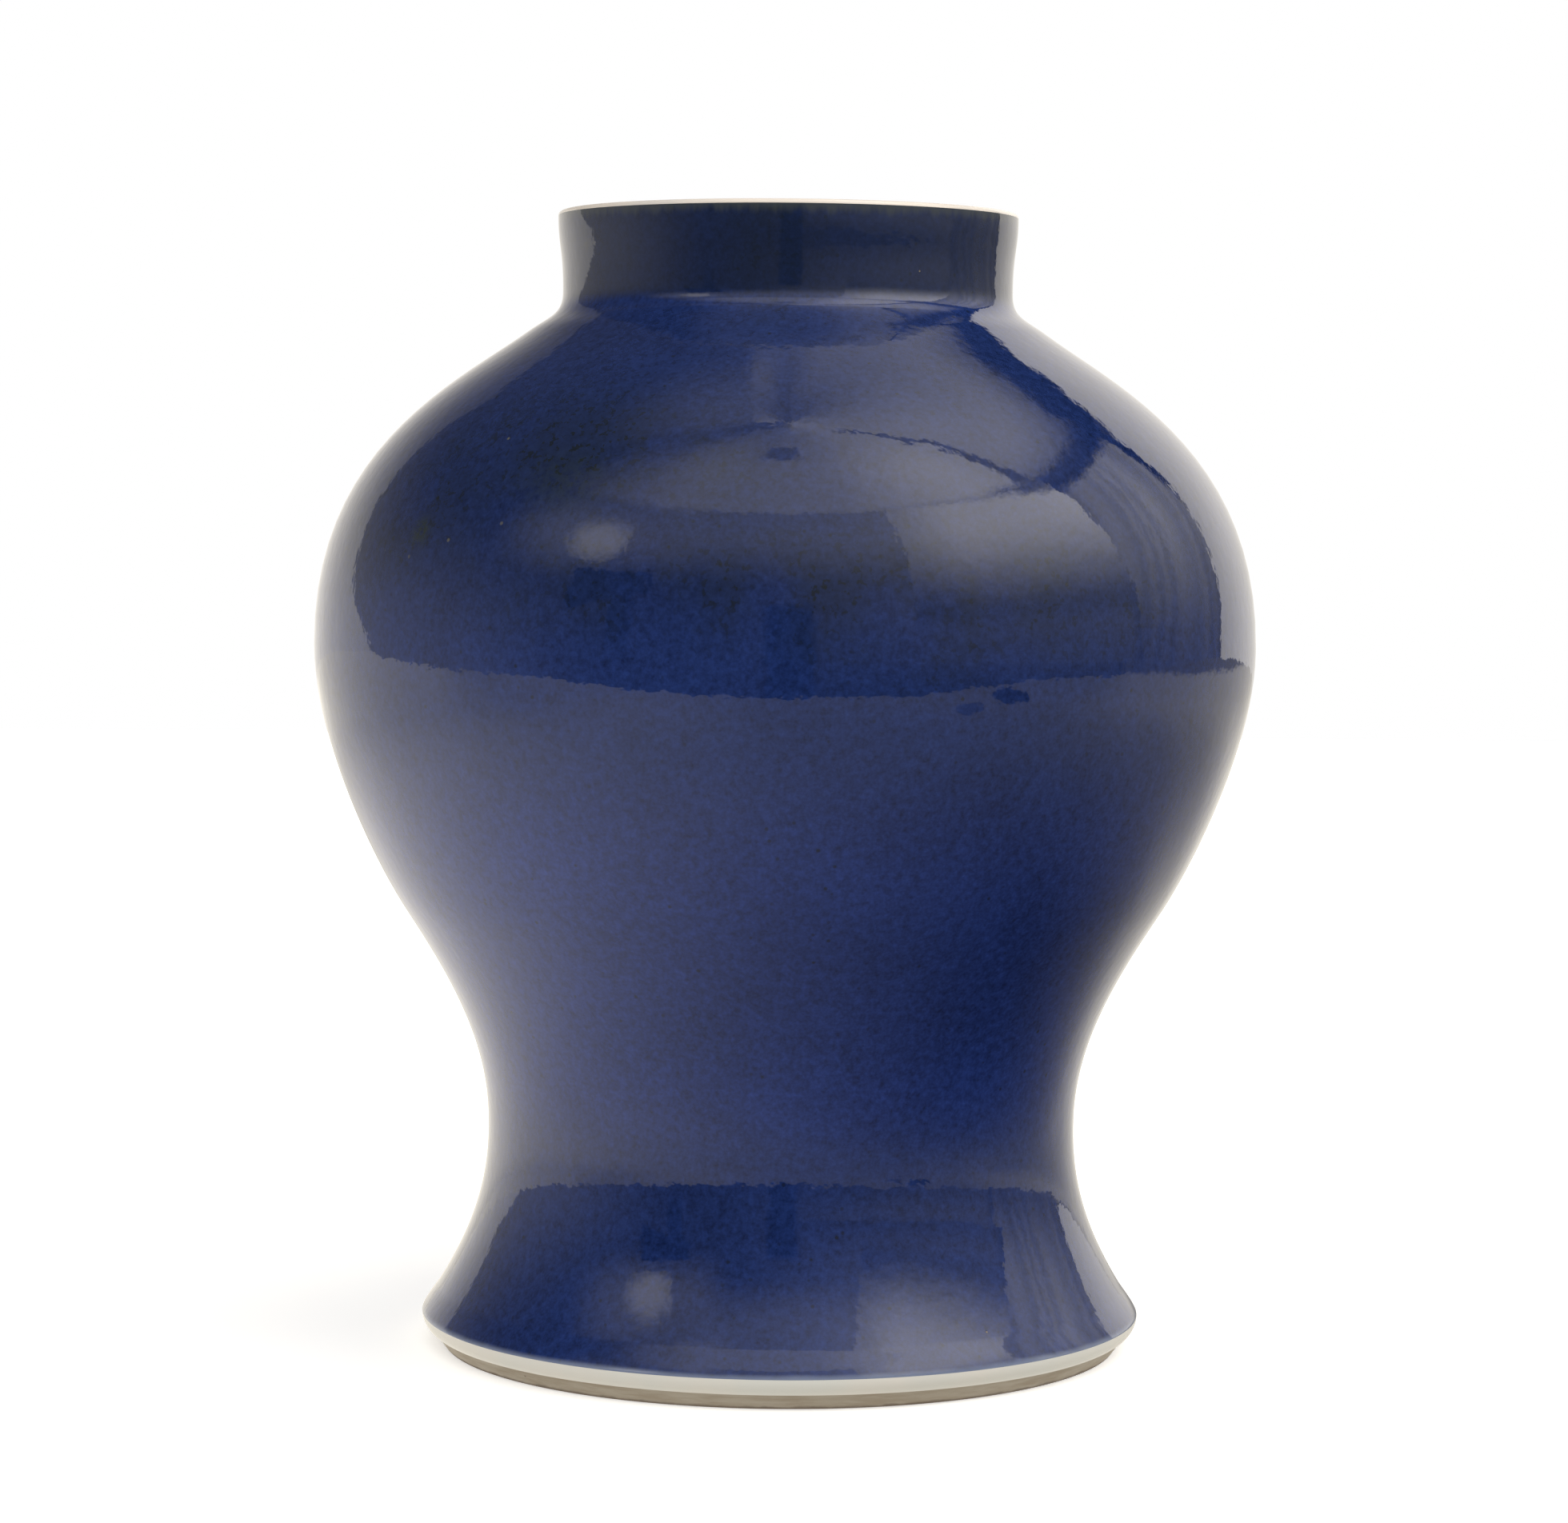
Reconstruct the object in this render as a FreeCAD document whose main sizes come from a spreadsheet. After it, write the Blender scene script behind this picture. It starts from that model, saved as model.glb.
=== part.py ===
import FreeCAD
import Part
import Sketcher
import math
import os
from enum import IntEnum, auto

# Porcelain baluster vase, built as the potter builds it: four thrown sections luted
# together with slip at the neck, the belly and the waist, then glazed blue outside and
# clear over the lip, the inside, the foot band and the base. The foot ring stays bare.
# The frame is +Z up, with the origin at the centre of the standing ring's flat face.
# Every outline lies in the XZ plane and is turned a full circle about Z.

# Lengths in millimetres, with the outside's radii and heights taken over the glaze.
# The four sections stand on each other, each from the seam under it to its own top.
LENGTHS = {
    "foot_height": 62.0,
    "lower_body_height": 136.4,
    "shoulder_height": 99.6,
    "neck_height": 22.0,
    "rim_radius": 64.8,
    "neck_radius": 63.4,
    "belly_radius": 132.8,
    "waist_radius": 83.4,
    "foot_radius": 102.0,
    "lip_round": 1.2,
    "corner_reach": 9.8,
    "corner_drop": 11.8,
    "flare_inset": 4.8,
    "flare_rise": 7.4,
    "foot_edge_height": 9.0,
    "foot_edge_round": 5.4,
    "standing_inset": 6.3,
    "ring_width": 7.2,
    "ring_bevel": 1.0,
    "recess_depth": 9.0,
    "recess_round": 3.0,
    "base_glaze_line": 2.0,
    "floor_thickness": 8.0,
    "floor_round": 10.0,
    "rim_wall": 4.6,
    "neck_wall": 5.0,
    "shoulder_wall": 6.0,
    "belly_wall": 5.6,
    "turn_wall": 6.2,
    "waist_wall": 7.0,
    "foot_wall": 17.2,
    "seam_thickness": 1.0,
    "bead_half_width": 4.0,
    "bead_proud": 1.2,
    "glaze_thickness": 0.4,
}

# Slopes of the outside at the three places where it runs straight for a moment: the
# shoulder's below the horizontal, the other two from the vertical. The band's angle is
# how far the clear glaze goes round the foot's edge, from its widest line down.
ANGLES_DEG = {
    "shoulder_slope_deg": 36.0,
    "turn_slope_deg": 33.2,
    "flare_slope_deg": 31.5,
    "band_angle_deg": 59.0,
}

# Where the lower body turns from round to hollow, as shares of the way from the waist
# to the belly, and how full each curve is at its two ends, as shares of its height.
SHARES = {
    "turn_rise_share": 0.45,
    "turn_reach_share": 0.474,
    "collar_top_share": 0.41,
    "collar_bottom_share": 0.52,
    "corner_top_share": 0.57,
    "corner_bottom_share": 0.65,
    "shoulder_top_share": 0.27,
    "shoulder_bottom_share": 0.63,
    "belly_top_share": 0.33,
    "belly_bottom_share": 0.25,
    "turn_top_share": 0.43,
    "turn_bottom_share": 0.35,
    "flare_top_share": 0.32,
    "flare_bottom_share": 0.44,
    "edge_top_share": 0.27,
    "edge_bottom_share": 0.13,
    "well_top_share": 0.32,
    "well_bottom_share": 0.4,
}

SHEET = "Sizes"
FULL_TURN_DEG = 360.0
SKIN = "skin"
BODY = "body"
CAVITY = "cavity"
LINING = "lining"


class Axis(IntEnum):
    """The sketcher's codes for a sketch's own two axes."""

    X = -1
    Z = -2


class Spot(IntEnum):
    """The sketcher's codes for the points of a line or an arc."""

    START = auto()
    END = auto()
    CENTRE = auto()


class Size:
    """A number together with the sheet expression that gives it."""

    def __init__(self, value, text):
        self.value = value
        self.text = text

    def _with(self, other, value, sign):
        """The size that joins this one and another by a sign."""
        return Size(value, f"({self.text} {sign} {other.text})")

    def __add__(self, other):
        return self._with(other, self.value + other.value, "+")

    def __sub__(self, other):
        return self._with(other, self.value - other.value, "-")

    def __mul__(self, other):
        return self._with(other, self.value * other.value, "*")

    def __truediv__(self, other):
        return self._with(other, self.value / other.value, "/")

    def half(self):
        """Half of this size."""
        return Size(self.value / 2, f"({self.text} / 2)")

    def root(self):
        """The square root of this size."""
        return Size(math.sqrt(self.value), f"sqrt({self.text})")

    def sine(self):
        """The sine of this size, an angle in degrees."""
        return Size(math.sin(math.radians(self.value)), f"sin({self.text})")

    def cosine(self):
        """The cosine of this size, an angle in degrees."""
        return Size(math.cos(math.radians(self.value)), f"cos({self.text})")


ZERO = Size(0.0, "0")
RIGHT_ANGLE_DEG = Size(90.0, "90")


def write_sheet(doc):
    """Put the named values in the document's sheet, one alias to a row."""
    sheet = doc.addObject("Spreadsheet::Sheet", SHEET)
    sizes = {}
    for row, (name, value) in enumerate({**LENGTHS, **ANGLES_DEG, **SHARES}.items(), 1):
        sheet.set(f"A{row}", name)
        sheet.set(f"B{row}", str(value))
        sheet.setAlias(f"B{row}", name)
        sizes[name] = Size(value, f"{SHEET}.{name}")
    doc.recompute()
    return sizes


class Outline:
    """A closed outline in the XZ plane whose points are bound to the sheet."""

    def __init__(self, body, name):
        self.sketch = body.newObject("Sketcher::SketchObject", name)
        plane = [f for f in body.Origin.OriginFeatures if f.Role == "XZ_Plane"][0]
        self.sketch.AttachmentSupport = [(plane, "")]
        self.sketch.MapMode = "FlatFace"
        self.corners = []
        self.pieces = []
        self.constraints = []

    def begin(self, point):
        """Start the outline at a point."""
        self.corners.append(point)

    def line(self, point):
        """Run straight to a point."""
        self.pieces.append(("line", None, None))
        self.corners.append(point)

    def curve(self, first_handle, second_handle, point):
        """Run to a point on a curve that two handles shape."""
        self.pieces.append(("curve", first_handle, second_handle))
        self.corners.append(point)

    def arc(self, centre, clockwise, point):
        """Run to a point on a circle round a centre."""
        self.pieces.append(("arc", centre, clockwise))
        self.corners.append(point)

    def draw(self):
        """Close the outline, add its geometry and bind it to the sheet."""
        self.pieces.append(("line", None, None))
        ends = self.corners[1:] + self.corners[:1]
        placed = []
        for (kind, first, second), start, end in zip(self.pieces, self.corners, ends):
            if kind == "line":
                geometry = self.sketch.addGeometry(Part.LineSegment(at(start), at(end)), False)
                placed.append((geometry, Spot.START, Spot.END))
            elif kind == "curve":
                placed.append(self._add_curve(start, first, second, end))
            else:
                placed.append(self._add_arc(start, first, second, end))
        for place, corner in zip(placed, self.corners):
            self._bind(place[0], place[1], corner)
        for place, following in zip(placed, placed[1:] + placed[:1]):
            ties = (place[0], place[2], following[0], following[1])
            self.constraints.append((Sketcher.Constraint("Coincident", *ties), None))
        count = self.sketch.ConstraintCount
        self.sketch.addConstraint([constraint for constraint, _ in self.constraints])
        for index, (_, text) in enumerate(self.constraints, count):
            if text:
                self.sketch.setExpression(f"Constraints[{index}]", text)

    def _add_curve(self, start, first, second, end):
        """One cubic with its two handles bound."""
        poles = [at(start), at(first), at(second), at(end)]
        spline = Part.BSplineCurve(poles, None, None, False, len(poles) - 1, None, False)
        geometry = self.sketch.addGeometry(spline, False)
        first_circle = self.sketch.GeometryCount
        self.sketch.exposeInternalGeometry(geometry)
        self._bind(first_circle + 1, Spot.CENTRE, first)
        self._bind(first_circle + 2, Spot.CENTRE, second)
        return geometry, Spot.START, Spot.END

    def _add_arc(self, start, centre, clockwise, end):
        """One arc with its centre's X bound; its ends settle the rest."""
        middle = at(centre)
        radius = (at(start) - middle).Length
        circle = Part.Circle(middle, FreeCAD.Vector(0, 0, 1), radius)
        angles = [math.atan2(at(p).y - middle.y, at(p).x - middle.x) for p in (start, end)]
        if clockwise:
            angles.reverse()
        if angles[1] < angles[0]:
            angles[1] += math.tau
        arc = Part.ArcOfCircle(circle, angles[0], angles[1])
        geometry = self.sketch.addGeometry(arc, False)
        self._bind_one("DistanceX", geometry, Spot.CENTRE, centre[0])
        return (geometry, Spot.END, Spot.START) if clockwise else (geometry, Spot.START, Spot.END)

    def _bind(self, geometry, position, point):
        """Fix a point at its radius and height."""
        self._bind_one("DistanceX", geometry, position, point[0])
        self._bind_one("DistanceY", geometry, position, point[1])

    def _bind_one(self, kind, geometry, position, size):
        """Fix one coordinate of a point, on the axis where the size is nothing."""
        if size is ZERO:
            axis = Axis.Z if kind == "DistanceX" else Axis.X
            constraint = Sketcher.Constraint("PointOnObject", geometry, position, axis)
            self.constraints.append((constraint, None))
        else:
            ends = (Axis.X, Spot.START, geometry, position)
            constraint = Sketcher.Constraint(kind, *ends, size.value)
            self.constraints.append((constraint, size.text))


def at(point):
    """The sketch vector of a point."""
    return FreeCAD.Vector(point[0].value, point[1].value, 0)


def below(point, drop):
    """The point that lies straight under another."""
    return point[0], point[1] - drop


def above(point, rise):
    """The point that lies straight over another."""
    return point[0], point[1] + rise


class Station:
    """A place on the outside that every layer of the wall follows inwards.

    Its wall is the clay's thickness there. A station with no wall lies on the clay's
    inner face. Its slope is from the vertical, and leans out or in on the way down.
    """

    def __init__(self, radius, height, wall=None, slope=None, outward=True, seam=False):
        self.radius = radius
        self.height = height
        self.wall = wall
        self.slope = slope
        self.outward = outward
        self.seam = seam

    def point(self, depth):
        """The place at a depth under the outside, along its normal."""
        if self.slope is None:
            return self.radius - depth, self.height
        inwards = depth * self.slope.cosine()
        drop = depth * self.slope.sine()
        height = self.height - drop if self.outward else self.height + drop
        return self.radius - inwards, height

    def handle(self, end, reach, upwards):
        """The place reached from a point at this station by running along its slope."""
        radius, height = end
        if self.slope is None:
            return above(end, reach) if upwards else below(end, reach)
        sideways = reach * self.slope.sine()
        along = reach * self.slope.cosine()
        wider = radius + sideways if self.outward != upwards else radius - sideways
        return wider, height + along if upwards else height - along


class Form:
    """The vase's stations, wall layers and curves, worked out from the sizes."""

    def __init__(self, s):
        self.s = s
        self.glaze = s["glaze_thickness"]
        self.seam_half = s["seam_thickness"].half()
        self.land = s["bead_half_width"]
        belly_height = s["foot_height"] + s["lower_body_height"]
        neck_seam_height = belly_height + s["shoulder_height"]
        self.top = neck_seam_height + s["neck_height"]
        self.floor_height = s["recess_depth"] + s["floor_thickness"]
        self.recess_radius = s["foot_radius"] - s["standing_inset"] - s["ring_width"]
        self.rim = Station(s["rim_radius"], self.top - s["lip_round"], s["rim_wall"])
        self.neck = Station(s["neck_radius"], neck_seam_height, s["neck_wall"], seam=True)
        self.shoulder = Station(
            s["neck_radius"] + s["corner_reach"],
            neck_seam_height - s["corner_drop"],
            s["shoulder_wall"],
            RIGHT_ANGLE_DEG - s["shoulder_slope_deg"],
        )
        self.belly = Station(s["belly_radius"], belly_height, s["belly_wall"], seam=True)
        self.turn = Station(
            s["waist_radius"] + (s["belly_radius"] - s["waist_radius"]) * s["turn_reach_share"],
            s["foot_height"] + s["lower_body_height"] * s["turn_rise_share"],
            s["turn_wall"],
            s["turn_slope_deg"],
            outward=False,
        )
        self.waist = Station(s["waist_radius"], s["foot_height"], s["waist_wall"], seam=True)
        self.edge = Station(s["foot_radius"], s["foot_edge_height"])
        self.flare = Station(
            s["foot_radius"] - s["flare_inset"],
            s["foot_edge_height"] + s["flare_rise"],
            slope=s["flare_slope_deg"],
        )
        self.well_foot = Station(
            self.flare.radius - s["foot_wall"], self.floor_height + s["floor_round"]
        )
        self.ends = {
            "collar": (self.rim, self.neck),
            "corner": (self.neck, self.shoulder),
            "shoulder": (self.shoulder, self.belly),
            "belly": (self.belly, self.turn),
            "turn": (self.turn, self.waist),
            "flare": (self.waist, self.flare),
            "edge": (self.flare, self.edge),
            "well": (self.waist, self.well_foot),
        }

    def depth(self, station, layer):
        """How deep a layer lies under a station."""
        if layer == SKIN:
            return ZERO
        if layer == BODY:
            return self.glaze
        if station.wall is None:
            return self.glaze if layer == LINING else ZERO
        depth = self.glaze + station.wall
        return depth + self.glaze if layer == LINING else depth

    def span(self, name, layer):
        """The four points of a named curve of a layer, from the top down.

        At a seam the curve keeps off the station's own height: the clay is straight
        there for the slip's thickness outside, and inside for its bead.
        """
        upper, lower = self.ends[name]
        gap = self.seam_half if layer in (SKIN, BODY) else self.land
        top = upper.point(self.depth(upper, layer))
        bottom = lower.point(self.depth(lower, layer))
        if upper.seam:
            top = below(top, gap)
        if lower.seam:
            bottom = above(bottom, gap)
        height = top[1] - bottom[1]
        leave = upper.handle(top, height * self.s[name + "_top_share"], False)
        reach = lower.handle(bottom, height * self.s[name + "_bottom_share"], True)
        return top, leave, reach, bottom

    def inner_radius(self, station, layer):
        """The radius of a layer of the inside at a seam or at the rim."""
        return station.radius - self.depth(station, layer)

    def lip_centres(self):
        """The centres that the lip's outer and inner edges are rounded about."""
        inside = self.inner_radius(self.rim, LINING)
        outer = (self.rim.radius - self.s["lip_round"], self.rim.height)
        inner = (inside + self.s["lip_round"], self.rim.height)
        return outer, inner

    def edge_centre(self):
        """The centre that the foot's edge is rounded about."""
        return self.edge.radius - self.s["foot_edge_round"], self.edge.height

    def band_bottom(self, depth):
        """Where a layer of the rounded foot edge ends, above the bare ring."""
        centre = self.edge_centre()
        round_radius = self.s["foot_edge_round"] - depth
        angle = self.s["band_angle_deg"]
        return centre[0] + round_radius * angle.cosine(), centre[1] - round_radius * angle.sine()

    def recess_centre(self):
        """The centre of the round between the recess's face and its wall."""
        return (
            self.recess_radius - self.s["recess_round"],
            self.s["recess_depth"] - self.s["recess_round"],
        )

    def bead_centre(self, station):
        """The centre of the bulge that the slip's bead has on the inside of a seam."""
        proud = self.s["bead_proud"]
        bulge_radius = (self.land * self.land + proud * proud) / (proud + proud)
        crest = self.inner_radius(station, CAVITY) - proud
        return crest + bulge_radius, station.height

    def floor_centre(self):
        """The centre of the round between the floor and the wall inside."""
        return self.well_foot.radius - self.s["floor_round"], self.well_foot.height


def run_down(outline, span):
    """Follow a curve from its top to its bottom."""
    outline.curve(span[1], span[2], span[3])


def run_up(outline, span):
    """Follow a curve from its bottom to its top."""
    outline.curve(span[2], span[1], span[0])


def neck_section(form, outline):
    """The thrown collar and its rounded lip."""
    outer = form.span("collar", BODY)
    inner = form.span("collar", CAVITY)
    outer_round, inner_round = form.lip_centres()
    clay_top = form.top - form.glaze
    outline.begin(outer[3])
    run_up(outline, outer)
    outline.arc(outer_round, False, (outer_round[0], clay_top))
    outline.line((inner_round[0], clay_top))
    outline.arc(inner_round, False, inner[0])
    run_down(outline, inner)
    outline.line((inner[3][0], form.neck.height + form.seam_half))


def wall_section(form, outline, upper_name, lower_name):
    """A thrown section of wall between two seams, of two curves."""
    upper = form.span(upper_name, BODY)
    lower = form.span(lower_name, BODY)
    inner_upper = form.span(upper_name, CAVITY)
    inner_lower = form.span(lower_name, CAVITY)
    outline.begin(lower[3])
    run_up(outline, lower)
    run_up(outline, upper)
    outline.line((inner_upper[0][0], upper[0][1]))
    outline.line(inner_upper[0])
    run_down(outline, inner_upper)
    run_down(outline, inner_lower)
    outline.line((inner_lower[3][0], lower[3][1]))


def shoulder_section(form, outline):
    """The upper body, from the neck's collar out to the widest part."""
    wall_section(form, outline, "corner", "shoulder")


def lower_body_section(form, outline):
    """The lower body, from the widest part in to the waist."""
    wall_section(form, outline, "belly", "turn")


def foot_section(form, outline):
    """The spreading foot with its floor, recessed base and bare standing ring."""
    s = form.s
    flare = form.span("flare", BODY)
    edge = form.span("edge", BODY)
    well = form.span("well", CAVITY)
    floor_centre = form.floor_centre()
    outline.begin((s["foot_radius"] - s["standing_inset"], ZERO))
    outline.line(form.band_bottom(form.glaze))
    outline.arc(form.edge_centre(), False, edge[3])
    run_up(outline, edge)
    run_up(outline, flare)
    outline.line((well[0][0], flare[0][1]))
    outline.line(well[0])
    run_down(outline, well)
    outline.arc(floor_centre, True, (floor_centre[0], form.floor_height))
    outline.line((ZERO, form.floor_height))
    outline.line((ZERO, s["recess_depth"]))
    recess_face(form, outline, s["ring_bevel"])
    outline.line((form.recess_radius + s["ring_bevel"], ZERO))


def recess_face(form, outline, lowest):
    """Follow the clay of the recess from its centre out and down to a height."""
    centre = form.recess_centre()
    outline.line((centre[0], form.s["recess_depth"]))
    outline.arc(centre, True, (form.recess_radius, centre[1]))
    outline.line((form.recess_radius, lowest))


def slip_seam(form, outline, station):
    """The slip that lutes two sections, with the bead that it leaves inside."""
    outside = station.radius - form.glaze
    inside = form.inner_radius(station, CAVITY)
    low = station.height - form.seam_half
    high = station.height + form.seam_half
    outline.begin((outside, low))
    outline.line((outside, high))
    outline.line((inside, high))
    outline.line((inside, station.height + form.land))
    outline.arc(form.bead_centre(station), False, (inside, station.height - form.land))
    outline.line((inside, low))


def neck_slip_seam(form, outline):
    """The slip between the collar and the shoulder."""
    slip_seam(form, outline, form.neck)


def belly_slip_seam(form, outline):
    """The slip round the widest part."""
    slip_seam(form, outline, form.belly)


def waist_slip_seam(form, outline):
    """The slip between the body and the foot."""
    slip_seam(form, outline, form.waist)


def blue_glaze(form, outline):
    """The blue coat over the whole outside, from the foot's edge to the lip."""
    names = ("collar", "corner", "shoulder", "belly", "turn", "flare", "edge")
    outline.begin(form.edge.point(ZERO))
    for name in reversed(names):
        span = form.span(name, SKIN)
        run_up(outline, span)
        upper = form.ends[name][0]
        if upper.seam:
            outline.line(above((upper.radius, upper.height), form.seam_half))
    outline.line(form.rim.point(form.glaze))
    for name in names:
        span = form.span(name, BODY)
        run_down(outline, span)
        lower = form.ends[name][1]
        if lower.seam:
            outline.line(below((lower.radius - form.glaze, lower.height), form.seam_half))


def lip_glaze(form, outline):
    """The clear glaze over the lip, where the blue has run thin."""
    outer, inner = form.lip_centres()
    top = form.top
    inside = form.inner_radius(form.rim, LINING)
    outline.begin(form.rim.point(ZERO))
    outline.arc(outer, False, (outer[0], top))
    outline.line((inner[0], top))
    outline.arc(inner, False, (inside, form.rim.height))
    outline.line((inside + form.glaze, form.rim.height))
    outline.arc(inner, True, (inner[0], top - form.glaze))
    outline.line((outer[0], top - form.glaze))
    outline.arc(outer, True, form.rim.point(form.glaze))


def inside_glaze(form, outline):
    """The clear glaze that lines the inside, over the beads and the floor."""
    names = ("collar", "corner", "shoulder", "belly", "turn", "well")
    floor_centre = form.floor_centre()
    outline.begin(form.span(names[0], CAVITY)[0])
    for name in names:
        run_down(outline, form.span(name, CAVITY))
        lower = form.ends[name][1]
        if lower.seam:
            end = (form.inner_radius(lower, CAVITY), lower.height - form.land)
            outline.arc(form.bead_centre(lower), False, end)
    outline.arc(floor_centre, True, (floor_centre[0], form.floor_height))
    outline.line((ZERO, form.floor_height))
    outline.line((ZERO, form.floor_height + form.glaze))
    outline.line((floor_centre[0], form.floor_height + form.glaze))
    outline.arc(floor_centre, False, form.span(names[-1], LINING)[3])
    for name in reversed(names):
        run_up(outline, form.span(name, LINING))
        upper = form.ends[name][0]
        if upper.seam:
            end = (form.inner_radius(upper, LINING), upper.height + form.land)
            outline.arc(form.bead_centre(upper), True, end)


def foot_band_glaze(form, outline):
    """The clear glaze band round the foot's edge, under the blue."""
    outline.begin(form.band_bottom(ZERO))
    outline.arc(form.edge_centre(), False, form.edge.point(ZERO))
    outline.line(form.edge.point(form.glaze))
    outline.arc(form.edge_centre(), True, form.band_bottom(form.glaze))


def base_glaze(form, outline):
    """The clear glaze in the recess under the floor."""
    s = form.s
    centre = form.recess_centre()
    face_radius = form.recess_radius - form.glaze
    face_height = s["recess_depth"] - form.glaze
    outline.begin((ZERO, s["recess_depth"]))
    recess_face(form, outline, s["base_glaze_line"])
    outline.line((face_radius, s["base_glaze_line"]))
    outline.line((face_radius, centre[1]))
    outline.arc(centre, False, (centre[0], face_height))
    outline.line((ZERO, face_height))


PIECES = (
    neck_section,
    shoulder_section,
    lower_body_section,
    foot_section,
    neck_slip_seam,
    belly_slip_seam,
    waist_slip_seam,
    blue_glaze,
    lip_glaze,
    inside_glaze,
    foot_band_glaze,
    base_glaze,
)


def turn_piece(doc, form, trace):
    """A body turned about Z from the outline that a piece's function traces."""
    label = trace.__name__
    body = doc.addObject("PartDesign::Body", label)
    body.Label = label
    body.Placement = FreeCAD.Placement()
    outline = Outline(body, label + "_outline")
    trace(form, outline)
    outline.draw()
    turned = body.newObject("PartDesign::Revolution", label + "_turned")
    turned.Profile = outline.sketch
    turned.ReferenceAxis = (outline.sketch, ["V_Axis"])
    turned.Angle = FULL_TURN_DEG
    return body


def check(doc, bodies):
    """Stop if any feature failed or any piece is not one valid solid."""
    for item in doc.Objects:
        if "Invalid" in item.State or "Error" in item.State:
            raise RuntimeError(f"{item.Label} failed: {item.State}")
    for body in bodies:
        shape = body.Shape
        if shape.isNull() or not shape.isValid() or len(shape.Solids) != 1:
            raise RuntimeError(f"{body.Label} is not one valid solid")


def main():
    """Build every piece, check it and write its STEP file."""
    doc = FreeCAD.newDocument("baluster_vase")
    form = Form(write_sheet(doc))
    bodies = [turn_piece(doc, form, trace) for trace in PIECES]
    doc.recompute()
    check(doc, bodies)
    os.makedirs("parts", exist_ok=True)
    for body in bodies:
        body.Shape.exportStep(os.path.join("parts", body.Label + ".step"))
        box = body.Shape.optimalBoundingBox()
        print(f"{body.Label}: {body.Shape.Volume:.0f} mm3, {box.ZMin:.1f} to {box.ZMax:.1f} mm")


main()
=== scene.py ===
"""A porcelain baluster vase with a powder blue glaze, on a pale studio table.

The blue coat, the clear glazes and the foot are turned from the same outline as the
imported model, and the clay sections and slip seams inside them keep their own meshes.
Lengths are in millimetres in the classes' fields and in metres in the meshes.
"""

import functools
import logging
import math
from collections.abc import Sequence
from dataclasses import dataclass, field, replace
from enum import Enum
from typing import Any, Union

import bmesh
import bpy
from mathutils import Matrix, Vector
from mathutils.geometry import interpolate_bezier

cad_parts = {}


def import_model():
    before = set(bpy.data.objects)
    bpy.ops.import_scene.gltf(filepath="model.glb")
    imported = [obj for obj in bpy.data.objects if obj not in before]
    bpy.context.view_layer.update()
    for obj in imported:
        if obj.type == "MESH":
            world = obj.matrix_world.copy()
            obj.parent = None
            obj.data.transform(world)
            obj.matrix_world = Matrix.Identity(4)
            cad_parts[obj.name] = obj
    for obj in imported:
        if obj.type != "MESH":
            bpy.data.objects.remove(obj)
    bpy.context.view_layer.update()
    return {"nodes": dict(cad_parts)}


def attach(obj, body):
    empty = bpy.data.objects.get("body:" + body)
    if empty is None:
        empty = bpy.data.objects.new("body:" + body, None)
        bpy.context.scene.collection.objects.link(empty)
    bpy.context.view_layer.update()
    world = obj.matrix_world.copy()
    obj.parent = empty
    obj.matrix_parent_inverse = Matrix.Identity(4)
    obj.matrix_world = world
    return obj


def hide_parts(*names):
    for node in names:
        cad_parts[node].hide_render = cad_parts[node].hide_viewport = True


log = logging.getLogger("baluster_vase")

MM = 0.001
DEGREES = 180 / math.pi
BODY = "root"

Colour = tuple[float, float, float]
Point = tuple[float, float]
Place = tuple[float, float, float]
Inputs = dict[str | int, Any]
Number = Union["Signal", float]
Object = bpy.types.Object
Socket = bpy.types.NodeSocket


class Slot(Enum):
    """The record's material slots."""

    CLAY = "porcelain_clay"
    SLIP = "slip"
    BLUE = "blue_glaze"
    LIP = "lip_glaze"
    INSIDE = "inside_glaze"
    BAND = "foot_band_glaze"
    BASE = "base_glaze"


class Layer(Enum):
    """The skins of the wall, from the outside in."""

    SKIN = "skin"
    CLAY = "clay"
    CAVITY = "cavity"
    LINING = "lining"


@dataclass(frozen=True)
class Ramp:
    """An eased step between two levels, while a value goes from low to high.

    About a number, the value is how far it is from that number. A slant shifts an edge
    of the room with the other angle.
    """

    low: float
    high: float
    start: float = 0.0
    end: float = 1.0
    about: float | None = None
    slant: float = 0.0


@dataclass(frozen=True)
class Grain:
    """Cloudy noise: its clouds' size in millimetres, finer layers, and their strength.

    Its weight is how much it counts, and its upright scale squeezes it in height.
    """

    size: float
    detail: float = 2.0
    rough: float = 0.5
    weight: float = 1.0
    upright: float = 1.0


@dataclass(frozen=True)
class Dots:
    """Small soft dots, one to a cell, with lengths in millimetres.

    Their strength is how much they colour, and their depth how far they are sunk.
    """

    spacing: float
    radius: float
    strength: float = 1.0
    depth: float = 0.0


@dataclass(frozen=True)
class Oval:
    """An oval by its centre and reach, fading from its centre, 0, to its rim, 1.

    Its turn is the cosine and sine that aim it.
    """

    centre: Point
    reach: Point
    fade: Ramp
    turn: Point = (1.0, 0.0)


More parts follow.
